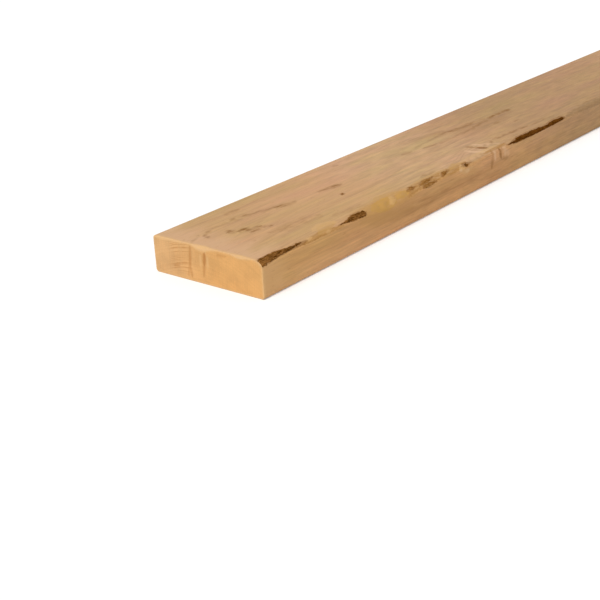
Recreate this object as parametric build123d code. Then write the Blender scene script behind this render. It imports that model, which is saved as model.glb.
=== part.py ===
from build123d import *
import os

# A dressed softwood plank, sawn from one log, with wane along one arris.
#
# It lies flat. X runs along its length, Y across its width and Z up through its
# thickness, and the origin is the middle of its underside. The wane is where the
# log's own round surface cuts the arris between the upper face and the -Y edge.
# It starts at the near end, which is the one at -X, and fades out along the board.

# Board, in millimetres
board_length = 2438.0
board_width = 140.0
board_thickness = 38.0
arris_radius = 3.0

# Wane, in millimetres
wane_length = 760.0
near_end_overrun = 5.0
cutter_clearance = 2.0

# How full the wane's curve is: 0 is a flat bevel and 1 is a round that meets both faces
# in line.
wane_fullness = 0.6

# The stretches of wane, each as its distance from the near end, its width on the upper
# face and its depth down the edge.
wane_stations = [
    (0.0, 10.0, 7.0),
    (30.0, 9.0, 5.0),
    (62.0, 5.5, 4.2),
    (95.0, 5.0, 4.0),
    (125.0, 8.0, 4.6),
    (155.0, 9.5, 5.6),
    (190.0, 10.0, 8.5),
    (225.0, 10.0, 9.5),
    (262.0, 8.5, 6.5),
    (310.0, 8.0, 5.2),
    (360.0, 7.0, 5.0),
    (410.0, 5.5, 4.2),
    (455.0, 7.5, 4.2),
    (520.0, 8.0, 4.8),
    (580.0, 8.0, 4.8),
    (640.0, 5.5, 4.2),
    (690.0, 5.0, 4.0),
    (715.0, 4.3, 3.7),
    (738.0, 3.3, 3.2),
]

# A bevel this small lies wholly outside the eased arris.
faded_width = 2.4


def squared_board():
    """The sawn and dressed board, with its four long arrises eased."""
    with BuildPart() as board:
        with BuildSketch(Plane.YZ.offset(-board_length / 2)):
            with Locations((0, board_thickness / 2)):
                RectangleRounded(board_width, board_thickness, arris_radius)
        extrude(amount=board_length)
    return board.part


def wane_section(distance, width, depth):
    """What the log lacks of the squared arris, seen along the board at one distance."""
    edge = -board_width / 2
    face = board_thickness
    fall = (1 - wane_fullness) / (1 + wane_fullness)

    on_face = (edge + width, face)
    on_edge = (edge, face - depth)
    pull = (
        edge + (1 - wane_fullness) * width / 2,
        face - (1 - wane_fullness) * depth / 2,
    )
    above_face = (edge + width + cutter_clearance * width / depth / fall, face + cutter_clearance)
    beside_edge = (edge - cutter_clearance, face - depth - cutter_clearance * depth / width / fall)
    outside = (edge - cutter_clearance, face + cutter_clearance)

    with BuildSketch(Plane.YZ.offset(distance - board_length / 2)) as section:
        with BuildLine():
            Line(above_face, on_face)
            Bezier(on_face, pull, on_edge)
            Polyline(on_edge, beside_edge, outside, above_face)
        make_face()
    return section.sketch


def wane():
    """The missing wood as one smooth body, from past the near end to where it fades out."""
    first_width, first_depth = wane_stations[0][1:]
    sections = [wane_section(-near_end_overrun, first_width, first_depth)]
    for distance, width, depth in wane_stations:
        sections.append(wane_section(distance, width, depth))
    sections.append(wane_section(wane_length, faded_width, faded_width))
    return loft(sections)


plank = squared_board() - wane()
plank.label = "plank"

os.makedirs("parts", exist_ok=True)
export_step(plank, "parts/plank.step")
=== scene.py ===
import math
from functools import partialmethod

import bpy
import numpy as np
from mathutils import Matrix, Vector, noise


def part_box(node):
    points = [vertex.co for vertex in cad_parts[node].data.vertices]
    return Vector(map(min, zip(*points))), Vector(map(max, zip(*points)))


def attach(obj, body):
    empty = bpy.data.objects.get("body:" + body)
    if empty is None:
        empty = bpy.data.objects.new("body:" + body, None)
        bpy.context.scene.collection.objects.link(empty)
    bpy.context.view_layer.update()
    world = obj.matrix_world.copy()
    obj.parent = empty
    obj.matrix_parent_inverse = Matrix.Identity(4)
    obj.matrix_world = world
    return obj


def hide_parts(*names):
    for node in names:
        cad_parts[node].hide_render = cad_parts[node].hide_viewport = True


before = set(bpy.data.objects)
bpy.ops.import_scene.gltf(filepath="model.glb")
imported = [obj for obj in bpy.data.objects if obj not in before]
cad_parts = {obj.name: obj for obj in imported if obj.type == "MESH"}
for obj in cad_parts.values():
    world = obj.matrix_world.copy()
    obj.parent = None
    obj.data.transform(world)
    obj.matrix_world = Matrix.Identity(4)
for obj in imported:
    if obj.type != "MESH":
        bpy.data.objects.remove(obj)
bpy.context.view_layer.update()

# Lengths below are in millimetres in the plank's own coordinates, unless they say
# otherwise: "along" runs from the near end, "across" from the middle of the width towards
# the square edge, and "up" from the underside. The waney arris is at the upper face, on
# the other edge.
MM = 0.001
low_corner, high_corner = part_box("plank")
LENGTH, WIDTH, THICKNESS = ((high_corner - low_corner) / MM)[:]
MIDDLE = (low_corner.y + high_corner.y) / 2
WANEY_EDGE = -WIDTH / 2
SQUARE_EDGE = WIDTH / 2


def in_row_frame(places):
    """Plank coordinates in millimetres, as the row frame's metres."""
    origin = np.array([low_corner.x, MIDDLE, low_corner.z])
    return origin + np.asarray(places, float) * MM


# Section

ARRIS_RADIUS = 3

# Fullness is 0 for a flat bevel and 1 for a curve that meets both faces in line. This one
# comes nearest to a quarter circle.
ROUND_FULLNESS = 0.83
WANE_FULLNESS = 0.6
WANE_FADES = 690
WANE_END = 760

# The wane's stations: distance along, width on the upper face and depth down the edge
WANE_STATIONS = [
    (0, 10, 7), (30, 9, 5), (62, 5.5, 4.2), (95, 5, 4), (125, 8, 4.6), (155, 9.5, 5.6),
    (190, 10, 8.5), (225, 10, 9.5), (262, 8.5, 6.5), (310, 8, 5.2), (360, 7, 5), (410, 5.5, 4.2),
    (455, 7.5, 4.2), (520, 8, 4.8), (580, 8, 4.8), (640, 5.5, 4.2), (690, 5, 4), (715, 4.3, 3.7),
    (738, 3.3, 3.2), (WANE_END, ARRIS_RADIUS, ARRIS_RADIUS),
]


def smooth_through(at, places, values):
    """A curve through the values that has no dip or bump between them."""
    places, values = np.asarray(places, float), np.asarray(values, float)
    steps, rises = np.diff(places), np.diff(values)
    slopes = rises / steps
    tangents = np.zeros(len(values))
    for i in range(1, len(values) - 1):
        if slopes[i - 1] * slopes[i] > 0:
            tangents[i] = 2 / (1 / slopes[i - 1] + 1 / slopes[i])
    at = np.clip(at, places[0], places[-1])
    i = np.clip(np.searchsorted(places, at, side="right") - 1, 0, len(steps) - 1)
    t = (at - places[i]) / steps[i]
    return (
        (2 * t**3 - 3 * t**2 + 1) * values[i]
        + (t**3 - 2 * t**2 + t) * steps[i] * tangents[i]
        + (3 * t**2 - 2 * t**3) * values[i + 1]
        + (t**3 - t**2) * steps[i] * tangents[i + 1]
    )


def wane_size(along):
    """Width on the upper face, depth down the edge and fullness of the waney arris."""
    places, widths, depths = zip(*WANE_STATIONS)
    fading = np.clip((along - WANE_FADES) / (WANE_END - WANE_FADES), 0, 1)
    return (
        smooth_through(along, places, widths),
        smooth_through(along, places, depths),
        WANE_FULLNESS + (ROUND_FULLNESS - WANE_FULLNESS) * fading,
    )


def wane_curve(along, share):
    """Across and up at a share of the way over the wane, from the edge to the upper face."""
    width, depth, fullness = wane_size(along)
    pull_across, pull_up = (1 - fullness) * width / 2, (1 - fullness) * depth / 2
    a, b, c = (1 - share) ** 2, 2 * share * (1 - share), share**2
    across = WANEY_EDGE + b * pull_across + c * width
    up = THICKNESS - a * depth - b * pull_up
    return across, up


def spread(start, end, shares):
    """Points from each start to its end, at the given shares of the way."""
    return start[:, None] + (end - start)[:, None] * shares


def with_edge_rows(count, row=0.012):
    """Shares of the way over a face, with a narrow row along each side of it."""
    return np.concatenate([[0, row], np.linspace(row, 1 - row, count)[1:-1], [1 - row, 1]])


FACE_SHARES = np.concatenate([
    [0, 0.005, 0.013, 0.025],
    np.linspace(0.035, 0.3, 27),
    np.linspace(0.314, 0.975, 50),
    [0.988, 0.995, 1],
])
EDGE_SHARES = with_edge_rows(5, 0.02)
WANEY_EDGE_SHARES = with_edge_rows(17, 0.02)
UNDERSIDE_SHARES = with_edge_rows(6)
WANE_SHARES = np.linspace(0, 1, 20)
ARC_STEPS = np.linspace(0, math.pi / 2, 5)

# Past the wane's borders a share of 1 is this many millimetres of the faces, and the other
# sides have a share far from the wane's.
MM_PER_SHARE = 10
FAR_SHARE = 9


def outline(along):
    """Points round the section at each distance, going from the wane over the upper face,
    and each point's share over the wane."""
    width, depth, _ = wane_size(along)
    zero, r = np.zeros_like(along), ARRIS_RADIUS
    inner, top = SQUARE_EDGE - r, THICKNESS
    face = spread(WANEY_EDGE + width, zero + inner, FACE_SHARES)
    edge = spread(zero + top - r, zero + r, EDGE_SHARES)
    under = spread(zero + inner, zero - inner, UNDERSIDE_SHARES)
    waney = spread(zero + r, top - depth, WANEY_EDGE_SHARES)

    def arc(centre_across, centre_up, start):
        angles = zero[:, None] + start - ARC_STEPS
        return centre_across + r * np.cos(angles), centre_up + r * np.sin(angles)

    runs = [
        (face, top, 1 + (face - face[:, :1]) / MM_PER_SHARE),
        (*arc(inner, top - r, math.pi / 2), FAR_SHARE),
        (SQUARE_EDGE, edge, FAR_SHARE),
        (*arc(inner, r, 0), FAR_SHARE),
        (under, 0, -FAR_SHARE),
        (*arc(-inner, r, -math.pi / 2), -FAR_SHARE),
        (WANEY_EDGE, waney, (waney - waney[:, -1:]) / MM_PER_SHARE),
        (*wane_curve(along[:, None], WANE_SHARES), WANE_SHARES),
    ]
    kinds = zip(*(np.broadcast_arrays(*run) for run in runs))
    return [np.concatenate([values[:, :-1] for values in kind], axis=1) for kind in kinds]


def outward(across, up):
    """Unit normals of closed outlines whose points go clockwise, seen from the near end."""
    ahead, rise = (np.roll(x, -1, axis=1) - np.roll(x, 1, axis=1) for x in (across, up))
    size = np.hypot(ahead, rise)
    return -rise / size, ahead / size


# Relief


def fractal(places, size, octaves, seed):
    """Smooth noise of about -1 to 1 at each place. Size is the largest swell's, by axis."""
    scaled = places / np.array(size) + seed
    values = [noise.fractal(Vector(p), 1.0, 2.0, octaves) for p in scaled.reshape(-1, 3)]
    return np.array(values).reshape(scaled.shape[:-1])


def layered(places, layers, seed=0.0):
    """Noise in layers, each given as its height, size, octaves and seed."""
    return sum(height * fractal(places, *kind, seed + own) for height, *kind, own in layers)


def eased(value, start, end):
    """0 at start and 1 at end, eased between them. Start may be the larger."""
    t = np.clip((value - start) / (end - start), 0, 1)
    return t * t * (3 - 2 * t)


def stepped(*stretches):
    """Distances along the plank, each stretch given as its start, end and step."""
    rows = [np.arange(start, end, step) for start, end, step in stretches]
    return np.concatenate([*rows, [stretches[-1][1]]])


# What lies on the wane, each as outlines of (along, lower border, upper border). The borders
# are in per cent of the way over the wane, from the edge of the plank to the upper face.
BARK_STRIPS = {
    "bark_near": [
        (0.9, 12, 82), (9, 18, 88), (18, 22, 86), (28, 25, 84), (34, 27, 80), (40, 30, 67),
        (46, 36, 66), (53, 41, 67), (57, 46, 62), (60, 50, 56),
    ],
    "bark_second": [
        (120, 40, 45), (125, 36, 49), (130, 31, 51), (134, 25, 59), (139, 18, 76), (145, 15, 82),
        (152, 14, 76), (157, 14, 74), (161, 24, 76), (163, 38, 74),
    ],
    "bark_far": [
        (442, 31, 38), (448, 20, 44), (457, 9, 44), (465, 4, 70), (472, 3, 78), (480, 3, 71),
        (492, 2, 69), (500, 3, 72), (507, 4, 68), (516, 5, 65), (528, 8, 55), (536, 12, 50),
        (545, 14, 66), (555, 16, 70), (562, 18, 67), (572, 20, 64), (578, 30, 60),
    ],
}
BARK_FLAKES = {
    "flake_1": [(243, 60, 70), (245, 52, 84), (249, 56, 90), (252, 70, 82)],
    "flake_2": [(262, 54, 60), (266, 50, 80), (273, 50, 92), (281, 62, 94), (288, 80, 90)],
    "flake_3": [(265, 14, 22), (268, 6, 40), (274, 2, 42), (281, 6, 36), (287, 16, 26)],
    "flake_4": [(303, 34, 44), (306, 34, 78), (310, 46, 92), (317, 72, 84)],
}
STAINS_AND_SHADE = {
    "bark": [
        [(-4, 2, 88), (28, 18, 92), (40, 16, 75), (50, 12, 75), (60, 12, 78), (69, 30, 70)],
        [(116, 30, 50), (130, 20, 62), (146, 10, 92), (160, 14, 86), (165, 30, 70)],
        [(238, 55, 75), (243, 50, 95), (250, 52, 100), (257, 65, 85)],
        [(257, 42, 50), (264, 48, 88), (273, 50, 102), (284, 62, 102), (294, 85, 95)],
        [(262, 10, 30), (268, 0, 50), (276, -5, 50), (284, 0, 45), (291, 10, 30)],
        [(299, 35, 50), (304, 30, 80), (309, 40, 98), (316, 60, 98), (323, 75, 90)],
        [(341, 30, 60), (346, 10, 86), (353, 8, 82), (358, 25, 60), (362, 35, 50)],
        [(436, 25, 45), (456, 0, 68), (468, -5, 98), (510, 0, 90), (534, 10, 70), (552, 8, 98),
         (576, 15, 90), (584, 40, 60)],
    ],
    "pit": [[(346, 34, 46), (349, 18, 60), (352, 15, 60), (356, 30, 45)]],
    "resin": [
        [(171, 30, 50), (180, 5, 90), (190, -15, 100), (203, -10, 105), (212, 15, 90),
         (217, 30, 70)],
        [(217, 40, 80), (226, 30, 90), (236, 30, 85), (243, 50, 75)],
    ],
    "golden": [
        [(84, 30, 60), (92, 40, 150), (101, 50, 200), (112, 70, 200), (121, 100, 140)],
        [(188, 90, 130), (200, 90, 190), (214, 90, 180), (232, 80, 120)],
        [(316, 60, 90), (328, 70, 130), (338, 80, 160), (346, 80, 130), (352, 80, 100)],
        [(250, 100, 120), (270, 100, 140), (300, 100, 140), (320, 100, 130)],
    ],
    # Painted shade: the bare wane darker over these stretches.
    "wane_shade": [
        [(60, 0, 40), (80, 0, 90), (92, 0, 95), (110, 0, 50), (124, 0, 40)],
        [(236, 10, 70), (250, 15, 100), (292, 15, 110), (330, 10, 100), (342, 30, 95)],
        [(343, 65, 95), (352, 70, 95), (358, 80, 90)],
        [(390, 65, 90), (400, 60, 100), (414, 55, 110), (430, 40, 105), (440, 50, 90)],
    ],
    # Painted shade: the bare wane darker past the last bark strip.
    "far_wane_shade": [[(580, 15, 60), (600, 10, 90), (625, 0, 110), (660, -20, 120), (715, -10, 90)]],
    "pale": [
        [(65, 35, 60), (70, 25, 85), (77, 40, 75)],
        [(86, 130, 170), (94, 120, 220), (103, 120, 240), (112, 100, 220), (122, 80, 140)],
        [(204, 20, 40), (210, 15, 85), (216, 40, 90)],
        [(333, -10, 20), (339, -30, 65), (344, -20, 75), (347, 30, 65)],
        [(339, -50, -10), (347, -65, -10), (357, -50, -10), (362, -30, -10)],
        [(344, 110, 120), (356, 110, 140), (380, 110, 150), (416, 110, 160), (436, 110, 130)],
        [(96, 10, 50), (101, 5, 65), (105, 20, 50)],
    ],
    "halo": [
        [(140, -40, 90), (180, -130, 120), (215, -150, 120), (236, -130, 110), (252, -60, 90)],
    ],
}

# How soft the borders of a stain or of painted shade are, as a share over the wane and in
# millimetres along it
PLAIN_BLUR = (0.16, 3)
BLURS = {"halo": (0.6, 14), "far_wane_shade": (0.3, 18)}


def borders(stretch, along):
    """A stretch's lower and upper border at each distance, as shares over the wane."""
    places, *sides = np.array(stretch, float).T
    return [smooth_through(along, places, side / 100) for side in sides]


def covered(stretch, along, share, blur, blur_along):
    """1 inside an outlined stretch of the wane and 0 outside it."""
    low, high = borders(stretch, along)
    first, last = stretch[0][0], stretch[-1][0]
    return (
        eased(share, low - blur, low + blur)
        * eased(share, high + blur, high - blur)
        * eased(along, first - blur_along, first + blur_along)
        * eased(along, last + blur_along, last - blur_along)
    )


# How far an end's arris is rounded, how much that varies, and above which height the near
# end's is worn
END_ROUND = 0.8
END_VARIES = 0.35
WORN_ABOVE = 30
ROUND_STEPS = 5

# How far down the near end's upper arris is worn, by its place across. It is worn less far
# along the upper face.
END_WEAR = [
    (-70, 0.9), (-64, 0.8), (-58, 1), (-53, 1.6), (-48, 2.4), (-41, 2.9), (-36, 2.1), (-31, 1),
    (-26, 0.5), (-16, 0.8), (-8, 1.6), (-3, 2.8), (3, 5), (8, 4.8), (14, 3.4), (18, 1.2),
    (24, 0.6), (34, 1.4), (53, 1.8), (64, 2.2), (70, 1),
]
WEAR_ALONG = 0.65
CAP_SHARES = (0.035, 0.08, 0.14, 0.22, 0.35, 0.55, 0.8)

# Stretches of the plank and the steps between their rings, closest round the knot
ROWS = [
    (4, 384, 1.4), (384, 444, 0.8), (444, 620, 1.4), (620, WANE_END + 40, 3),
    (WANE_END + 40, LENGTH - 3, 20),
]

# How fuzzy and pale an end's rim is, ring by ring from its outer edge: torn fibres there, and a
# painted highlight on the rounded arris.
RIM_FIBRE_AND_HIGHLIGHT = [1.0] * (ROUND_STEPS - 1) + [0.9, 0.45, 0.15]

# Hollows in the bare wane, each as (along, share, half length, half share, depth).
WANE_HOLLOWS = [
    (188, 0.55, 7, 0.5, 0.7), (203, 0.4, 8, 0.5, 0.9), (219, 0.65, 8, 0.45, 0.7),
    (236, 0.5, 7, 0.5, 0.8), (351, 0.38, 5, 0.32, 1.6), (96, 0.6, 12, 0.5, 0.3),
    (330, 0.5, 8, 0.5, 0.4),
]

# The bare wane's unevenness
WANE_SWELLS = [(0.28, (14, 4, 4), 3, 5), (0.16, (3.5, 1.4, 1.4), 2, 0)]
WANE_SUNK = 0.12

# Cracks in the upper face, each as a start, an end, a half width and a depth.
FACE_CRACKS = [
    ((403.5, -39), (411, -61), 0.9, 0.8), ((386, -43.5), (391, -45), 0.8, 0.4),
    ((437, -45.5), (440, -46.5), 0.9, 0.5), ((53, 7), (58, -1.5), 0.9, 0.35),
    ((191.5, -13.5), (194, -13.8), 1.1, 0.6),
]

# How fat and how blunt a line is between its tips
TAPERING = 3.6
BLUNTNESS = 0.1


def near_line(places, start, end, radius):
    """1 on a line and 0 past its radius, with tapered tips."""
    start, end = np.array(start, float), np.array(end, float)
    line = end - start
    offset = places - start
    share = np.clip(offset @ line / line.dot(line), 0, 1)
    distance = np.linalg.norm(offset - share[..., None] * line, axis=-1)
    taper = np.sqrt(TAPERING * share * (1 - share) + BLUNTNESS)
    return eased(distance / taper, radius, 0)


def relief(body, normals, share):
    """The body's points, moved for the wane's swells and hollows and the cracks."""
    along, across, up = np.moveaxis(body, 2, 0)
    depth = np.zeros_like(along)
    on_wane = (share > 0) & (share < 1) & (along < WANE_END)
    rough = layered(body[on_wane], WANE_SWELLS)
    fade = eased(share, 0, 0.2) * eased(share, 1, 0.8) * eased(along, WANE_END, 600)
    depth[on_wane] += (WANE_SUNK + rough) * fade[on_wane]
    for place, middle, reach, half_share, hollow in WANE_HOLLOWS:
        distance = np.hypot((along - place) / reach, (share - middle) / half_share)
        depth += hollow * eased(distance, 1, 0) * on_wane
    on_face = (up > THICKNESS - 0.01) & (share >= 1)
    for start, end, half_width, crack in FACE_CRACKS:
        depth += crack * near_line(body[..., :2], start, end, half_width) * on_face
    moved = body - normals * depth[..., None]
    moved[..., 1] = np.clip(moved[..., 1], WANEY_EDGE, SQUARE_EDGE)
    moved[..., 2] = np.clip(moved[..., 2], 0, THICKNESS)
    return moved


def cap(ring, normal, end_along, way, size):
    """Rings from an end's rounded arris in towards the middle of its face."""
    rings = []
    for angle in np.linspace(0, math.pi / 2, ROUND_STEPS):
        rim = ring - normal * (size * (1 - math.cos(angle)))[:, None]
        rim[:, 0] = end_along - way * WEAR_ALONG * size * (1 - math.sin(angle))
        rings.append(rim)
    reach = SQUARE_EDGE - THICKNESS / 2
    core = rim.copy()
    core[:, 1] = np.clip(rim[:, 1], -reach, reach)
    core[:, 2] = THICKNESS / 2
    return rings + [rim + (core - rim) * inwards for inwards in CAP_SHARES]


def stacked(along, across, up):
    """Rings of vectors. Along has one value for each ring."""
    return np.stack([along[:, None] + 0 * across, across, up], axis=2)


def with_normals(along, across, up):
    """Rings of points round the section, and the normals of its sides there."""
    return stacked(along, across, up), stacked(0 * along, *outward(across, up))


def end_rings(end_along, way):
    """An end's rings, and its points' shares over the wane."""
    across, up, share = outline(np.array([end_along]))
    (ring,), (normal,) = with_normals(np.zeros(1), across, up)
    size = END_ROUND * (1 + END_VARIES * fractal(ring + end_along, (6, 6, 6), 2, 3.0))
    if way < 0:
        worn = smooth_through(ring[:, 1], *zip(*END_WEAR))
        size = np.where(ring[:, 2] > WORN_ABOVE, np.maximum(size * 0.7, worn), size)
    return cap(ring, normal, end_along, way, size), share


def plank_mesh():
    """The whole plank as one closed mesh of quads. Gives its rings of points, how far each
    ring is an end's, how far it is an end's rim with its torn fibres and painted highlight,
    and each point's share over the wane."""
    rows = stepped(*ROWS)
    across, up, share = outline(rows)
    body = relief(*with_normals(rows, across, up), share)
    near, near_share = end_rings(0.0, -1)
    far, far_share = end_rings(LENGTH, 1)
    rings = np.array([*near[::-1], *body, *far])
    count = len(near)
    share = np.concatenate([np.repeat(near_share, count, 0), share, np.repeat(far_share, count, 0)])
    end_share, rim = np.zeros((2, len(rings)))
    end_share[: len(CAP_SHARES) + 1] = 1
    end_share[-len(CAP_SHARES) - 1 :] = 1
    rim[count - len(RIM_FIBRE_AND_HIGHLIGHT) : count] = RIM_FIBRE_AND_HIGHLIGHT[::-1]
    rim[-count : len(rings) - count + len(RIM_FIBRE_AND_HIGHLIGHT)] = RIM_FIBRE_AND_HIGHLIGHT
    return rings, end_share, rim, share


BARK_THICKNESS = 1.5
FLAKE_THICKNESS = 0.35
BARK_SCALES = [(0.45, (7, 1.5, 1.5), 3, 0), (0.35, (2.4, 0.8, 0.8), 2, 4)]
BARK_RAGS = [(0.09, 5.5, 2, 0), (0.1, 1.7, 2, 0)]
RAG_SEEDS = (0.3, 7.7)
SEED_STEP = 11.3
FLAKE_SEED = 40

# How far apart the points on a strip are, along it and as shares over it. It is a dome with
# blunt sides, and keeps its thickness where it is wider than this.
BARK_ROW = 0.6
BARK_SHARES = np.linspace(0, 1, 19)
BARK_DOME = 0.35
BARK_WIDE = 3

# How deep a strip of bark reaches into the wood, and how far it keeps from the faces
BARK_SUNK = 1
BARK_CLEARANCE = 0.04


def bark_mesh(stretch, thickness, seed):
    """Rings of points round a ragged, scaly strip that sits on the wane."""
    first, last = stretch[0][0], stretch[-1][0]
    along = np.arange(first, last, BARK_ROW)
    zero = np.zeros_like(along)
    line = np.stack([along, zero, zero], axis=1)
    rags = [layered(line, BARK_RAGS, seed + side) for side in RAG_SEEDS]
    low, high = np.add(borders(stretch, along), rags)
    low = np.clip(low, 0.01, 1)
    high = np.clip(high, low + 0.03, 0.995)
    share = spread(low, high, BARK_SHARES)
    rows = along[:, None]
    surface = stacked(along, *wane_curve(rows, share))
    turn = np.subtract(wane_curve(rows, share + 0.01), wane_curve(rows, share - 0.01))
    turn_across, turn_up = turn / np.hypot(*turn)
    normal = stacked(zero, -turn_up, turn_across)

    ends = eased(along, first - 0.5, first + 2.5) * eased(along, last + 0.3, last - 1.5)
    width = (high - low) * np.hypot(*wane_size(along)[:2])
    room = np.minimum(1, width / BARK_WIDE) * ends
    dome = (4 * BARK_SHARES * (1 - BARK_SHARES)) ** BARK_DOME
    scales = np.clip(0.8 + layered(surface, BARK_SCALES, seed), 0.25, 1.5)
    height = thickness * room[:, None] * dome * scales
    outer = surface + normal * height[..., None]
    inner = (surface - normal * BARK_SUNK)[:, ::-3]
    rings = np.concatenate([outer, inner], axis=1)
    rings[..., 1] = np.maximum(rings[..., 1], WANEY_EDGE + BARK_CLEARANCE)
    rings[..., 2] = np.minimum(rings[..., 2], THICKNESS - BARK_CLEARANCE)
    return rings


def tube_faces(ring_count, point_count):
    """Quads between closed rings, with the first and last ring filled."""
    around = np.arange(point_count)
    ahead = (around + 1) % point_count
    starts = point_count * np.arange(ring_count)
    quad = np.stack([around, ahead, ahead + point_count, around + point_count], axis=1)
    quads = starts[:-1, None, None] + quad
    return [*quads.reshape(-1, 4).tolist(), around[::-1].tolist(), (starts[-1] + around).tolist()]


# The plank's texture map, in pixels of a square picture. Each strip unrolls the sides that
# show, which are the waney edge, the wane and the upper face, or the others, over a stretch
# of the length, with the most room for the wane. The two ends lie above the strips.
MAP_SIZE = 1024
MAP_MARGIN = 6
MAP_STRIPS = [
    (True, 0, 400, 6, 298),
    (True, 400, 800, 306, 598),
    (True, 800, LENGTH, 606, 746),
    (False, 0, LENGTH, 754, 884),
]
MAP_ENDS = (892, 1018)
MAP_END_LEFTS = (6, 486)


def add_map(piece, rings):
    """Gives the plank the texture map that pictures of its materials are baked through."""
    ring_count, point_count = rings.shape[:2]
    waney_count = len(WANEY_EDGE_SHARES) + len(WANE_SHARES) - 2
    shown_count = waney_count + len(FACE_SHARES) - 1
    turned = np.roll(rings, waney_count, axis=1)
    ring = np.arange(ring_count - 1)[:, None, None] + np.array([0, 0, 1, 1])
    column = np.arange(point_count)[None, :, None] + np.array([0, 1, 1, 0])
    corners = turned[ring, column % point_count]
    section = turned[ring_count // 4]
    steps = np.linalg.norm(np.roll(section, -1, axis=0) - section, axis=1)
    around = np.concatenate([[0], np.cumsum(steps)])

    # A strip reaches halfway over the rounded arris of an end.
    halfway = len(CAP_SHARES) + ROUND_STEPS // 2
    distances = turned[:, 0, 0]
    places = np.zeros(corners.shape[:3] + (2,))
    for shown, start, end, bottom, top in MAP_STRIPS:
        first = halfway if start == 0 else np.searchsorted(distances, start)
        last = ring_count - 1 - halfway if end == LENGTH else np.searchsorted(distances, end)
        columns = slice(0, shown_count) if shown else slice(shown_count, point_count)
        low, high = around[columns.start], around[columns.stop]
        along = (corners[first:last, columns, :, 0] - start) / (end - start)
        over = (high - around[column[:, columns]]) / (high - low) + 0 * along
        places[first:last, columns, :, 0] = MAP_MARGIN + along * (MAP_SIZE - 2 * MAP_MARGIN)
        places[first:last, columns, :, 1] = bottom + over * (top - bottom)

    bottom, top = MAP_ENDS
    scale = (top - bottom) / THICKNESS

    def flat(points, left, way):
        """Places on the map of points on an end."""
        from_left = WIDTH / 2 + way * points[..., 1]
        return np.stack([left + from_left * scale, bottom + points[..., 2] * scale], axis=-1)

    near_left, far_left = MAP_END_LEFTS
    places[:halfway] = flat(corners[:halfway], near_left, -1)
    places[-halfway:] = flat(corners[-halfway:], far_left, 1)
    places = np.roll(places, -waney_count, axis=1).reshape(-1, 2)
    fills = [flat(rings[0, ::-1], near_left, -1), flat(rings[-1], far_left, 1)]
    layer = piece.data.uv_layers.new(name="OFBake")
    places = np.concatenate([places, *fills]) / MAP_SIZE
    layer.uv.foreach_set("vector", places.reshape(-1).astype(np.float32))


# Lines on the plank, each as a start, an end, a radius and a strength in per cent. Where a
# start or an end has only its places along and across, it lies on the upper face.
FACE_STREAKS = [
    ((4, 21), (24, 31), 2.2, 35), ((20, 16), (27, 26), 4.5, 48),
    ((24, 25), (46, 30.5), 3.6, 50), ((44, 30.5), (66, 30), 6, 42),
    ((68, 30.5), (80, 30), 7, 55), ((82, 30.5), (97, 27), 7.5, 50),
    ((95, 26.5), (124, 18), 6, 42), ((121, 18.5), (147, 12.5), 9, 68),
    ((40, 9), (51.5, 9.5), 9.5, 95), ((52, 3.5), (61, -4), 10, 86),
    ((57, -9), (72, -6), 9, 84), ((73, -9.5), (79, -12), 6, 60),
    ((80, 48), (100, 47.5), 8, 32), ((184, 11), (206, 10), 5.5, 55),
    ((198, 10), (222, 6), 7, 72), ((338, 10), (360, 12), 5, 46),
    ((374, 14), (424, 18), 3.6, 25), ((421, 19), (448, 20), 4.8, 52),
    ((449, 17.5), (474, 17.5), 6.2, 62), ((470, 15.5), (506, 15.5), 7.5, 64),
    ((503, 14.5), (532, 11.5), 5, 38), ((527, 9.5), (577, 9), 7, 74),
    ((376, 5), (400, 2.5), 5.5, 48), ((396, 1.5), (440, 0.8), 4.6, 40),
    ((438, 0), (484, 0.8), 6, 56), ((480, 2), (516, 6), 6, 54),
    ((446, -46), (486, -50), 4.5, 55), ((466, -48), (520, -51.5), 4.5, 75),
    ((500, -50.5), (575, -56), 3, 40), ((628, -61), (700, -62.5), 4, 55),
    ((504, -10), (519, -10.5), 3.5, 55), ((530, -26), (544, -27.5), 3.5, 55),
    ((264, 53), (277, 54.6), 4.5, 50), ((66, -28), (130, -36), 16, 30),
    ((284, -54), (306, -55), 5, 45), ((132, -50), (176, -53), 8, 22),
]
PIN_KNOT = [((190, -17), (196, -13.2), 4, 110)]

# The knot that the waney arris cuts: pale and dark lines across the grain, over the upper
# face and down the edge. The last two pale ones are the wood round the small pit in the wane.
KNOT_PALE = [
    ((414, -36), (424, -54), 5.5, 110), ((424, -44), (436, -61), 4.2, 60),
    ((389, -41), (391, -50), 5, 80), ((388, -47), (396, -64), 5.5, 100),
    ((400, -52), (405, -66), 3, 60), ((409, -68.5, 37.5), (410.5, WANEY_EDGE, 26), 4.2, 75),
    ((430, -68, 38), (434, WANEY_EDGE, 26), 5.5, 65),
    ((436, WANEY_EDGE, 31), (441, WANEY_EDGE, 24), 5, 50),
    ((334, WANEY_EDGE, 34.5), (340, WANEY_EDGE, 32.5), 3.6, 95),
    ((346, WANEY_EDGE, 30), (354, WANEY_EDGE, 28.5), 3.8, 100),
]
KNOT_DARK = [
    ((405, -45), (412.5, -60), 4.4, 92), ((403, -35), (407, -42), 6, 50),
    ((430, -53), (440, -47), 4, 45), ((418, -52), (424, -47), 3.6, 35),
    ((405.5, -66, 38), (402, WANEY_EDGE, 18), 5.5, 50),
    ((420, -68, 38), (423.5, WANEY_EDGE, 24), 4.4, 75),
    ((424, WANEY_EDGE, 23), (440, WANEY_EDGE, 21), 3, 35),
]
KNOT_ALONG = 408


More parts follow.
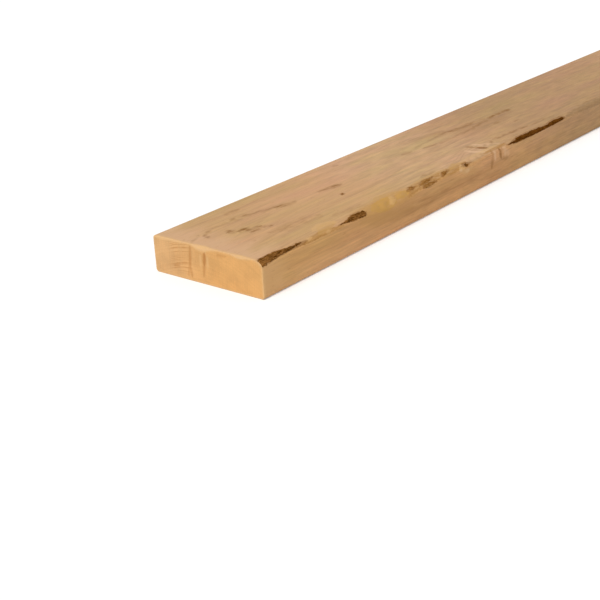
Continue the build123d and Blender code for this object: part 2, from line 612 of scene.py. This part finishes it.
def drawn(places, lines, size, reach, seed):
    """The strongest of some lines at each place. Noise moves them about by up to reach."""
    lines = [((*start, THICKNESS)[:3], (*end, THICKNESS)[:3], *rest) for start, end, *rest in lines]
    ends = np.array([end for line in lines for end in line[:2]], float)
    margin = max(line[2] for line in lines) + 2 * max(reach)
    near = ((places > ends.min(0) - margin) & (places < ends.max(0) + margin)).all(-1)
    inside = places[near]
    shifts = [
        amount * fractal(inside, size, 2, seed + 3.7 * axis) for axis, amount in enumerate(reach)
    ]
    moved = inside + np.stack(shifts, axis=-1)
    shown = [near_line(moved, *line) * (strength / 100) for *line, strength in lines]
    marks = np.zeros(places.shape[:-1])
    marks[near] = np.max(shown, axis=0)
    return marks


def add_object(name, data):
    """A new object in the scene."""
    thing = bpy.data.objects.new(name, data)
    bpy.context.scene.collection.objects.link(thing)
    return thing


def make_piece(name, rings, material, **marks):
    """A smooth-shaded tube from rings of places in millimetres, with marks by point."""
    mesh = bpy.data.meshes.new(name)
    faces = tube_faces(*rings.shape[:2])
    mesh.from_pydata(in_row_frame(rings.reshape(-1, 3)).tolist(), [], faces)
    mesh.update()
    mesh.shade_smooth()
    mesh.materials.append(material)
    for mark, values in marks.items():
        attribute = mesh.attributes.new(mark, "FLOAT", "POINT")
        values = np.broadcast_to(values, rings.shape[:2])
        attribute.data.foreach_set("value", values.reshape(-1).astype(np.float32))
    piece = add_object(name, mesh)
    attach(piece, "root")
    return piece


# Shading


class Tree:
    """Adds nodes to a material or a world. Values are sockets or plain numbers."""

    def __init__(self, owner):
        owner.use_nodes = True
        self.nodes, self.links = owner.node_tree.nodes, owner.node_tree.links

    def put(self, socket, value):
        if isinstance(value, bpy.types.NodeSocket):
            self.links.new(value, socket)
        elif socket.type == "RGBA":
            socket.default_value = (*value, 1)
        else:
            socket.default_value = value

    def add(self, kind, values=None, **settings):
        """A new node. The values go to its sockets, by their names or numbers."""
        node = self.nodes.new("ShaderNode" + kind)
        for name, value in settings.items():
            setattr(node, name, value)
        for name, value in (values or {}).items():
            self.put(node.inputs[name], value)
        return node

    def maths(self, operation, *values, clamp=False):
        values = dict(enumerate(values))
        return self.add("Math", values, operation=operation, use_clamp=clamp).outputs[0]

    def chained(self, operation, *values):
        """One operation over two or more values."""
        total = values[0]
        for value in values[1:]:
            total = self.maths(operation, total, value)
        return total

    plus = partialmethod(chained, "ADD")
    times = partialmethod(chained, "MULTIPLY")
    largest = partialmethod(chained, "MAXIMUM")
    minus = partialmethod(maths, "SUBTRACT")

    def inverse(self, share):
        return self.minus(1, share)

    def smooth(self, value, start, end):
        """0 at start and 1 at end, eased between them. Start may be the larger."""
        values = {"Value": value, "From Min": start, "From Max": end}
        return self.add("MapRange", values, interpolation_type="SMOOTHSTEP").outputs[0]

    def within(self, value, start, full, fading, end):
        """1 from full to fading and 0 before start and after end, eased between them."""
        return self.times(self.smooth(value, start, full), self.smooth(value, end, fading))

    def ranged(self, value, start, end, low, high):
        """A value from start to end, as one from low to high."""
        names = ("Value", "From Min", "From Max", "To Min", "To Max")
        values = dict(zip(names, (value, start, end, low, high)))
        return self.add("MapRange", values).outputs[0]

    def between(self, share, low, high):
        """Low where the share is 0, and high where it is 1."""
        return self.ranged(share, 0, 1, low, high)

    def swing(self, noise, low, high, bounds=(0.3, 0.7)):
        """Noise that keeps mostly within the bounds, as a value from low to high."""
        return self.ranged(noise, *bounds, low, high)

    def seen(self):
        """1 for what the camera sees, directly or in and through a thing, and 0 for light."""
        path = self.add("LightPath").outputs
        through = self.plus(path["Is Glossy Ray"], path["Is Transmission Ray"])
        return self.maths("ADD", path["Is Camera Ray"], through, clamp=True)


class Shade(Tree):
    """A material that is painted by the place on the plank."""

    def __init__(self, name):
        self.material = bpy.data.materials.new(name)
        super().__init__(self.material)
        self.shader = self.nodes["Principled BSDF"]
        self.kept = {}
        self.at = self.place()

    def vectors(self, operation, *values):
        node = self.add("VectorMath", dict(enumerate(values)), operation=operation)
        single = operation in ("LENGTH", "DOT_PRODUCT")
        return node.outputs["Value" if single else "Vector"]

    def scaled(self, vector, share):
        values = {0: vector, "Scale": share}
        return self.add("VectorMath", values, operation="SCALE").outputs["Vector"]

    def place(self):
        """The shaded point in the plank's coordinates, in millimetres."""
        origin = (-low_corner.x / MM, -MIDDLE / MM, -low_corner.z / MM)
        local = self.add("TexCoord").outputs["Object"]
        return self.vectors("MULTIPLY_ADD", local, (1 / MM,) * 3, origin)

    def split(self, vector):
        return self.add("SeparateXYZ", {"Vector": vector}).outputs[:]

    def attribute(self, name):
        return self.add("Attribute", attribute_name=name).outputs["Fac"]

    def shortened(self, place, ratio):
        """A place with its distance along the plank divided by the ratio."""
        if ratio == 1:
            return place
        key = (place.node.name, ratio)
        if key not in self.kept:
            self.kept[key] = self.vectors("DIVIDE", place, (ratio, 1, 1))
        return self.kept[key]

    def grain(self, size, ratio=1, detail=2, roughness=0.5):
        """Noise of about 0.2 to 0.8. Size is its largest swell's across the plank, and the
        ratio is how many times longer it is along the plank."""
        values = {"Vector": self.shortened(self.at, ratio), "Scale": 1 / size}
        values |= {"Detail": detail, "Roughness": roughness}
        return self.add("TexNoise", values).outputs["Fac"]

    def drift(self, place, size, ratio, reach):
        """A place moved about by noise, as far as reach says for each axis."""
        values = {"Vector": self.shortened(place, ratio), "Scale": 1 / size, "Detail": 1}
        colour = self.add("TexNoise", values).outputs["Color"]
        centred = self.vectors("SUBTRACT", colour, (0.5, 0.5, 0.5))
        return self.vectors("ADD", place, self.vectors("MULTIPLY", centred, reach))

    def along_only(self, value, size, detail=1):
        """Noise of one number."""
        values = {"W": self.maths("DIVIDE", value, size), "Scale": 1, "Detail": detail}
        return self.add("TexNoise", values, noise_dimensions="1D").outputs["Fac"]

    def mixed(self, share, a, b):
        return self.add("Mix", {0: share, 6: a, 7: b}, data_type="RGBA").outputs[2]

    def tinted(self, colour, share, tint):
        """A colour times a tint, as far as the share says."""
        return self.vectors("MULTIPLY", colour, self.mixed(share, (1, 1, 1), tint))

    def stroke(self, place, start, end, radius):
        """1 on the line from start to end, easing to 0 at its radius, with tapered tips."""
        start, end = Vector(start), Vector(end)
        line = end - start
        from_start = self.vectors("SUBTRACT", place, start[:])
        ahead = self.vectors("DOT_PRODUCT", from_start, (line / line.length)[:])
        share = self.maths("MULTIPLY", ahead, 1 / line.length, clamp=True)
        away = self.vectors("SUBTRACT", from_start, self.scaled(line[:], share))
        distance = self.vectors("LENGTH", away)
        taper = self.times(share, self.inverse(share), TAPERING)
        taper = self.maths("SQRT", self.plus(taper, BLUNTNESS))
        return self.smooth(self.maths("DIVIDE", distance, taper), radius, 0)

    def finish(self, colour, roughness, height, specular):
        """The material, with its height in millimetres as bump."""
        bump = self.add("Bump", {"Strength": 1, "Distance": MM, "Height": height})
        values = {"Base Color": colour, "Roughness": roughness, "Specular IOR Level": specular}
        values["Normal"] = bump.outputs["Normal"]
        for name, value in values.items():
            self.put(self.shader.inputs[name], value)
        return self.material


# The log: its pith lies below the board, in the plank's coordinates, and it tapers. Its
# rings sway and ripple along it, each as the noise's size, ratio and reach by axis.
PITH_ACROSS = 10
PITH_UP = -95
TAPER = 0.0125
RING_WIDTH = 3.1
LOG_SWAY = (110, 4, (0, 22, 18))
LOG_RIPPLE = (18, 4, (0, 3.4, 3.4))

# The rings swell round the knot, within this reach along and across.
KNOT_SWELL = 8
KNOT_REACH_ALONG = (62, 5)
KNOT_REACH_ACROSS = (-8, WANEY_EDGE)

# Years differ, and between these two radii the log grew slowly, with many more rings.
YEARS_TOGETHER = 9
UNEVEN_YEARS = 2.2
SLOW_GROWTH = (112, 129)
SLOW_RINGS = 4

# Colours of the wood
PINKISH_WOOD = (0.617, 0.34, 0.18)
GOLDEN_WOOD = (0.557, 0.35, 0.149)
# Painted light: the paler, bluer wood at the near end, where the light is strongest.
NEAR_LIT_WOOD = (0.68, 0.414, 0.231)
LATEWOOD = (0.385, 0.18, 0.062)
PALE_WOOD = (0.7, 0.44, 0.25)
# Pale torn fibre, which is also a painted highlight where it lies on the ends' rims; it also paints
# the lips of the main check.
PALE_FIBRE_AND_HIGHLIGHT = (0.708, 0.433, 0.192)
DARK_STREAK = (0.21, 0.075, 0)
END_WOOD_LEFT = (0.658, 0.383, 0.168)
END_WOOD_RIGHT = (0.68, 0.366, 0.13)
END_LATEWOOD = (0.46, 0.205, 0.06)
HALO = (0.525, 0.28, 0.092)

# The paint and the depth of each kind of stain or painted shade, in the order in which they are
# laid
STAIN_AND_SHADE_PAINTS = {
    # Painted shade on the bare wane
    "wane_shade": ((0.43, 0.215, 0.062), 0.98),
    # Painted shade on the wane past the bark
    "far_wane_shade": ((0.302, 0.18, 0.083), 0.95),
    "golden": ((0.54, 0.305, 0.102), 0.9),
    "resin": ((0.555, 0.305, 0.078), 0.95),
    "pale": ((0.68, 0.41, 0.17), 0.7),
    "bark": ((0.23, 0.09, 0.018), 0.75),
    "pit": ((0.145, 0.052, 0.003), 2),
}

# Tints of the faces, the waney edge's first. Its next tints each set in over a stretch of
# the plank.
NEAR_TINT = (1.015, 0.965, 0.755)
NEXT_TINTS = [((1.085, 1.02, 0.82), (15, 45)), ((1.03, 0.935, 0.79), (80, 140))]
# Painted shade: the waney edge greyer and darker towards the far end, for the light's fall-off.
FAR_SHADE_TINT = (0.875, 0.86, 0.82)
LOWER_TINT = (1.16, 1.12, 1)
ABOVE_TINT = (1.07, 1.065, 1.14)
# Painted sheen: the upper face paler and bluer over a stretch of the plank, for the sheen that it
# shows of its white surroundings.
FACE_SHEEN_TINT = (0.99, 1.035, 1.11)

# Stretches along the plank over which a look sets in
# Painted light: paler towards the near end, the bright start of the light's fall-off along the
# plank.
NEAR_LIGHT_STRETCH = (48, 8)
CLEARER_RINGS = (260, 420)
CLOUDY = (180, 280)
PAST_VIEW = (1000, 1500)

# Stretches that have a look, each as where it starts, is full, starts to fade and ends
# Painted shade: over these two stretches the wood darkens along the plank and its waney edge turns
# greyer, for the light's fall-off; both are back to the wood's own colour at their ends.
FALLOFF_SHADE_STRETCH = (310, 590, 720, 1200)
FAR_SHADE_STRETCH = (400, 640, 720, 1200)
LOWER_TINTED = (5, 55, 100, 240)
ABOVE_TINTED = (360, 388, 540, 575)
FACE_SHEEN_STRETCH = (200, 290, 400, 470)
BANDED = (165, 215, 380, 450)
BANDED_LOW = (345, 395, 415, 450)

# How much clearer the rings are on the sides and the end that are finished plainly
PLAIN_RINGS = 0.34

# Bounds of what is steadier than most noise
STEADY = (0.35, 0.65)

# Flecks of late wood, each kind as its noise, from where to where it sets in and a strength
FLECKS = [((0.9, 12, 1), (0.68, 0.75), 0.4), ((1.3, 4, 0), (0.76, 0.82), 0.35)]

# Checks in the near end, each as a start and an end (across, up), a radius and a strength
# in per cent.
END_CHECKS = [
    ((20.2, 36), (22.4, 13), 3.4, 60), ((22.4, 16), (20.4, 3.5), 3, 50),
    ((23, 16), (25.3, 4), 2.6, 40), ((2, 32), (3.2, 19), 4, 95), ((3, 24), (5, 7), 3, 55),
    ((44, 11), (36, 12.5), 2.2, 50), ((-14, 33), (-26, 34.2), 3.2, 34),
]
MAIN_CHECK_ACROSS = 3.3


def growth(n):
    """The late wood's share at each point, and the ring's own random number."""
    along, across, up = n.split(n.drift(n.drift(n.at, *LOG_SWAY), *LOG_RIPPLE))
    from_knot = n.maths("ABSOLUTE", n.minus(along, KNOT_ALONG))
    near_knot = n.smooth(from_knot, *KNOT_REACH_ALONG)
    near_knot = n.times(near_knot, n.smooth(across, *KNOT_REACH_ACROSS))
    sideways = n.minus(across, PITH_ACROSS)
    above = n.plus(up, -PITH_UP, n.times(along, TAPER))
    radius = n.maths("SQRT", n.plus(n.times(sideways, sideways), n.times(above, above)))
    radius = n.plus(radius, n.times(near_knot, KNOT_SWELL))
    uneven = n.times(n.along_only(radius, YEARS_TOGETHER), UNEVEN_YEARS)
    slow_years = n.times(n.smooth(radius, *SLOW_GROWTH), SLOW_RINGS)
    counted = n.plus(n.maths("DIVIDE", radius, RING_WIDTH), uneven, slow_years)
    number = n.maths("FLOOR", counted)
    share = n.maths("FRACT", counted)
    chance = n.add("TexWhiteNoise", {"W": number}, noise_dimensions="1D").outputs["Value"]
    late = n.times(n.smooth(share, n.between(chance, 0.25, 0.6), 0.92), n.smooth(share, 1, 0.94))
    return late, chance


class Wood(Shade):
    """The plank's material, with the values that several of its looks share."""

    def __init__(self):
        super().__init__("planed_softwood")
        self.along, self.across, self.up = self.split(self.at)
        self.late, self.chance = growth(self)
        self.blotch = self.grain(15, 4)
        self.fibre = self.grain(1.7, 34, detail=3, roughness=0.6)
        self.fine_fibre = self.grain(0.55, 34)
        self.ripple = self.grain(3, 12)
        self.on_face = self.smooth(self.up, THICKNESS - 5, THICKNESS - 1)


def long_grain(n):
    """The colour of the faces and edges, before their tints, marks and stains."""
    along, on_face = n.along, n.on_face
    broad = n.plus(n.times(n.grain(42, 4), 0.6), n.times(n.blotch, 0.4))
    tint = n.times(n.swing(broad, -0.5, 0.5, STEADY), n.between(on_face, 0.7, 1))
    colour = n.mixed(n.plus(tint, 0.5), PINKISH_WOOD, GOLDEN_WOOD)

    # Growth rings
    patchy = n.swing(n.grain(60, 4), 0.1, 0.42)
    patchy = n.times(patchy, n.between(n.smooth(along, *CLEARER_RINGS), 0.7, 1))
    contrast = n.times(patchy, n.between(on_face, 0.6, 1))
    square_edge = n.smooth(n.across, SQUARE_EDGE - 1.2, SQUARE_EDGE - 0.2)
    underside = n.smooth(n.up, 1.2, 0.2)
    plain = n.largest(square_edge, underside, n.times(n.smooth(along, *PAST_VIEW), 0.7))
    contrast = n.plus(contrast, n.times(plain, PLAIN_RINGS))
    strength = n.times(n.late, contrast, n.between(n.chance, 0.6, 1.25))
    colour = n.mixed(strength, colour, LATEWOOD)

    # Light and dark
    cloud = n.swing(n.grain(6, 4, detail=3), -0.07, 0.07)
    clouded = n.times(n.inverse(on_face), n.ranged(along, 60, 150, 0.3, 1))
    clouded = n.largest(clouded, n.times(n.smooth(along, *CLOUDY), 1.3))
    shade = n.plus(
        n.swing(n.fibre, -0.085, 0.085),
        n.swing(n.fine_fibre, -0.06, 0.06),
        n.swing(n.blotch, -0.03, 0.03),
        n.swing(n.ripple, -0.04, 0.04),
        n.times(cloud, clouded),
        1,
    )
    # Painted shade: darker along the plank, most on the upper face, for the light's fall-off.
    falloff_shade = n.times(n.within(along, *FALLOFF_SHADE_STRETCH), n.between(on_face, 0.42, 1))
    colour = n.scaled(colour, n.times(shade, n.between(falloff_shade, 1, 0.77)))
    # Painted light: the near end paler, with a ragged border.
    ragged = n.plus(along, n.swing(n.grain(9, 4), -12, 12))
    colour = n.mixed(n.times(n.smooth(ragged, *NEAR_LIGHT_STRETCH), 0.75), colour, NEAR_LIT_WOOD)
    for kind, bounds, depth in FLECKS:
        flecks = n.smooth(n.grain(*kind), *bounds)
        colour = n.mixed(n.times(flecks, depth), colour, LATEWOOD)
    return colour


def with_tints(n, colour):
    """The colour with the tints of the faces, among them painted shade and a painted sheen, and a
    soft band darkened with late wood along the waney edge.
    """
    along, up = n.along, n.up
    on_edge = n.smooth(n.across, WANEY_EDGE + 3, WANEY_EDGE + 0.5)
    tints = NEAR_TINT
    for tint, stretch in NEXT_TINTS:
        tints = n.mixed(n.smooth(along, *stretch), tints, tint)
    # Painted shade on the waney edge towards the far end
    tints = n.mixed(n.within(along, *FAR_SHADE_STRETCH), tints, FAR_SHADE_TINT)
    lower = n.times(n.smooth(up, 22, 8), n.within(along, *LOWER_TINTED))
    tints = n.mixed(lower, tints, LOWER_TINT)
    above = n.times(n.smooth(up, 18, 24), n.within(along, *ABOVE_TINTED))
    tints = n.tinted(tints, above, ABOVE_TINT)
    # Painted sheen on the upper face
    colour = n.tinted(colour, n.times(n.within(along, *FACE_SHEEN_STRETCH), n.on_face), FACE_SHEEN_TINT)
    colour = n.tinted(colour, on_edge, tints)

    band_up = n.plus(up, n.swing(n.grain(22, 4), -3, 3))
    band = n.times(n.within(band_up, 10, 18, 20, 28), n.within(along, *BANDED))
    low_band = n.times(n.smooth(up, 17, 9), n.within(along, *BANDED_LOW))
    band = n.largest(band, n.times(low_band, 0.55))
    uneven = n.swing(n.grain(8, 4, detail=3), 0.22, 0.56, STEADY)
    uneven = n.times(uneven, n.swing(n.ripple, 0.5, 1.5, STEADY))
    return n.mixed(n.times(band, on_edge, uneven), colour, LATEWOOD)


def with_marks(n, colour):
    """The colour with the streaks on the upper face and the knots' lines."""
    broken = n.ranged(n.grain(5.5, 1.8), 0.36, 0.62, 0.4, 1.3)
    streaks = n.times(n.attribute("streak"), n.ranged(n.fibre, 0.35, 0.62, 1, 0.6), broken)
    streaks = n.largest(streaks, n.times(n.attribute("pin_knot"), 0.9))
    colour = n.mixed(streaks, colour, DARK_STREAK)
    torn = n.swing(n.grain(1.9, 4), 1.2, 0.8)
    colour = n.mixed(n.times(n.attribute("knot_pale"), torn), colour, PALE_WOOD)
    return n.mixed(n.times(n.attribute("knot_dark"), torn), colour, DARK_STREAK)


def with_stains_and_shade(n, colour):
    """The colour with what is painted on and beside the wane: bark, resin and other marks, and
    painted shade on parts of the wane.
    """
    halo = n.times(n.attribute("halo"), n.swing(n.blotch, 0.35, 0.75, STEADY))
    colour = n.mixed(halo, colour, HALO)
    rag = n.swing(n.grain(3.2, 1, 3, 0.65), -0.4, 0.4)
    mottle = n.swing(n.grain(1.9, 4, 3), 0.45, 1)
    for name, (paint, depth) in STAIN_AND_SHADE_PAINTS.items():
        stain_or_shade = n.attribute(name)
        mark = n.smooth(n.plus(stain_or_shade, rag), 0.25, 0.85)
        mark = n.times(mark, depth, mottle, n.smooth(stain_or_shade, 0, 0.3))
        colour = n.mixed(mark, colour, paint)
    return colour


def end_grain(n):
    """The colour of the ends, and how deep their checks are."""
    across, up = n.across, n.up
    near_end = n.smooth(n.along, 40, 20)
    colour = n.mixed(n.smooth(across, -20, 60), END_WOOD_RIGHT, END_WOOD_LEFT)

    # Growth rings, which show best in one part of the near end
    striped = n.times(n.within(across, 18, 26, 43, 52), n.smooth(up, 5, 10), near_end)
    striped = n.times(striped, n.ranged(n.grain(9), 0.36, 0.56, 0.45, 1))
    contrast = n.between(striped, 0.14, 0.72)
    contrast = n.plus(contrast, n.times(n.smooth(n.along, 1200, LENGTH), PLAIN_RINGS))
    colour = n.mixed(n.times(n.late, contrast), colour, END_LATEWOOD)

    # Saw marks and pores
    sawn = n.along_only(n.plus(across, n.times(up, 0.04)), 0.9, detail=2)
    shade = n.plus(
        n.swing(n.grain(18, detail=3), 0.92, 1.06, STEADY),
        n.swing(sawn, -0.045, 0.045),
        n.swing(n.grain(1.1), -0.05, 0.05),
    )
    colour = n.scaled(colour, shade)

    # Checks, and the pale lips of the main one
    checks = 0
    checked = n.drift(n.at, 5, 1, (0, 1.3, 1.3))
    for start, finish, radius, strength in END_CHECKS:
        mark = n.stroke(checked, (0, *start), (0, *finish), radius)
        checks = n.largest(checks, n.times(mark, strength / 100))
    colour = n.mixed(checks, colour, END_LATEWOOD)
    aside = n.maths("ABSOLUTE", n.minus(across, MAIN_CHECK_ACROSS))
    lips = n.times(n.within(aside, 2.4, 4.2, 5, 6.8), near_end, n.within(up, 14, 20, 27, 31))
    return n.mixed(n.times(lips, 0.5), colour, PALE_FIBRE_AND_HIGHLIGHT), checks


def wood_material():
    """Planed softwood: long grain on the faces and sawn end grain on the ends."""
    n = Wood()
    colour = with_stains_and_shade(n, with_marks(n, with_tints(n, long_grain(n))))
    end_colour, checks = end_grain(n)
    colour = n.mixed(n.attribute("end"), colour, end_colour)
    # The ends' rims: pale torn fibres, and a painted highlight on the rounded arris
    fuzz_and_highlight = n.swing(n.grain(2.5), 0.35, 1, STEADY)
    colour = n.mixed(n.times(n.attribute("rim"), fuzz_and_highlight), colour, PALE_FIBRE_AND_HIGHLIGHT)
    height = n.plus(
        n.times(n.late, 0.03),
        n.times(n.fibre, 0.1),
        n.times(n.fine_fibre, 0.07),
        n.times(checks, -0.4),
    )
    dullness = n.plus(n.times(n.fibre, 0.5), n.times(n.late, -0.2))
    return n.finish(colour, n.ranged(dullness, 0, 0.5, 0.5, 0.66), height, 0.12)


# The dark and the light colour of each kind of bark
BARKS = {
    "bark": ((0.062, 0.018, 0.0012), (0.2, 0.07, 0.01)),
    "inner_bark": ((0.095, 0.032, 0.003), (0.36, 0.16, 0.042)),
    "bark_flake": ((0.235, 0.1, 0.022), (0.44, 0.22, 0.068)),
}


def bark_material(name):
    """Fibrous bark."""
    dark, light = BARKS[name]
    n = Shade(name)
    fibre = n.grain(0.8, 8, detail=4, roughness=0.65)
    clump = n.grain(3.5, 3)
    share = n.smooth(n.plus(n.times(fibre, 0.75), n.times(clump, 0.25)), 0.4, 0.64)
    colour = n.mixed(share, dark, light)
    flecks = n.smooth(n.grain(1.2, 2), 0.58, 0.68)
    colour = n.mixed(n.times(flecks, 0.4), colour, light)
    return n.finish(colour, 0.85, n.times(fibre, 0.5), 0)


wood = wood_material()
bark, inner_bark, bark_flake = [bark_material(name) for name in BARKS]
rings, end_share, rim, share = plank_mesh()
stains_and_shade = {}
for name, stretches in STAINS_AND_SHADE.items():
    blurs = BLURS.get(name, PLAIN_BLUR)
    layers = [covered(stretch, rings[..., 0], share, *blurs) for stretch in stretches]
    stains_and_shade[name] = np.max(layers, axis=0)

# Each kind of line, with its noise's size and reach by axis and its seed
kinds = {
    "streak": (FACE_STREAKS, (14, 6, 6), (5, 3.2, 0), 2),
    "pin_knot": (PIN_KNOT, (4, 4, 4), (0.6, 0.6, 0), 4),
    "knot_pale": (KNOT_PALE, (6, 6, 6), (1.4, 1.4, 1), 6),
    "knot_dark": (KNOT_DARK, (6, 6, 6), (1.2, 1.2, 1), 8),
}
lines = {name: drawn(rings, *kind) for name, kind in kinds.items()}
plank = make_piece(
    "plank_body", rings, wood, end=end_share[:, None], rim=rim[:, None], **stains_and_shade, **lines
)
add_map(plank, rings)
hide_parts("plank")
for number, (name, stretch) in enumerate(BARK_STRIPS.items()):
    shell = bark_mesh(stretch, BARK_THICKNESS, number * SEED_STEP)
    make_piece(name, shell, bark if name == "bark_far" else inner_bark)
for number, (name, stretch) in enumerate(BARK_FLAKES.items()):
    shell = bark_mesh(stretch, FLAKE_THICKNESS, FLAKE_SEED + number * SEED_STEP)
    make_piece(name, shell, bark_flake)


# Stage

FLOOR_REACH = 60
FLOOR_DROP = 0.0002
FLOOR_COLOUR = (0.92, 0.92, 0.92)
FLOOR_LIFT = 0.16
SKY_LIGHT = 0.53
KEY_LIGHT = 0.71
KEY_FROM = (-0.4, -0.08, 0.5)
KEY_SPREAD = math.radians(35)


def make_floor():
    """A pale floor that shows as the white background, with the plank's shadow on it."""
    mesh = bpy.data.meshes.new("floor")
    corners = [(-1, -1, 0), (1, -1, 0), (1, 1, 0), (-1, 1, 0)]
    mesh.from_pydata((FLOOR_REACH * np.array(corners)).tolist(), [], [(0, 1, 2, 3)])
    floor = add_object("floor", mesh)
    floor.location.z = low_corner.z - FLOOR_DROP
    material = bpy.data.materials.new("floor")
    n = Tree(material)
    n.nodes.clear()
    paint = n.add("BsdfDiffuse", {"Color": FLOOR_COLOUR}).outputs[0]
    lift = n.add("Emission", {"Strength": n.times(n.seen(), FLOOR_LIFT)}).outputs[0]
    n.add("OutputMaterial", {"Surface": n.add("AddShader", {0: paint, 1: lift}).outputs[0]})
    mesh.materials.append(material)


def make_world():
    """White where it is seen or mirrored, and a softer white as light."""
    world = bpy.data.worlds.new("world")
    bpy.context.scene.world = world
    n = Tree(world)
    n.nodes.clear()
    sky = n.add("Background", {"Strength": n.between(n.seen(), SKY_LIGHT, 1)})
    n.add("OutputWorld", {"Surface": sky.outputs[0]})


def make_key_light():
    """A broad soft light from above the near end."""
    lamp = bpy.data.lights.new("key", "SUN")
    lamp.energy = KEY_LIGHT * math.pi
    lamp.angle = KEY_SPREAD
    key = add_object("key", lamp)
    key.rotation_euler = Vector(KEY_FROM).to_track_quat("Z", "Y").to_euler()


# The camera, as fitted to the plank's outline in the photograph. From looking down, it turns
# about its own axes, in degrees.
CAMERA_PLACE = (-754.8, -753.2, 428.1)
CAMERA_TURNS = [(-49.68, "Z"), (67.1, "X"), (-3.38, "Z")]
FOCAL_LENGTH = 72.36
SENSOR_WIDTH = 36


def make_camera():
    """The photograph's view."""
    data = bpy.data.cameras.new("camera")
    data.lens = FOCAL_LENGTH
    data.sensor_width = SENSOR_WIDTH
    data.clip_start, data.clip_end = 0.01, 200
    camera = add_object("camera", data)
    pose = Matrix.Translation(in_row_frame(CAMERA_PLACE))
    for degrees, axis in CAMERA_TURNS:
        pose = pose @ Matrix.Rotation(math.radians(degrees), 4, axis)
    camera.matrix_world = pose
    bpy.context.scene.camera = camera


make_floor()
make_world()
make_key_light()
make_camera()
bpy.context.scene.view_settings.view_transform = "Standard"
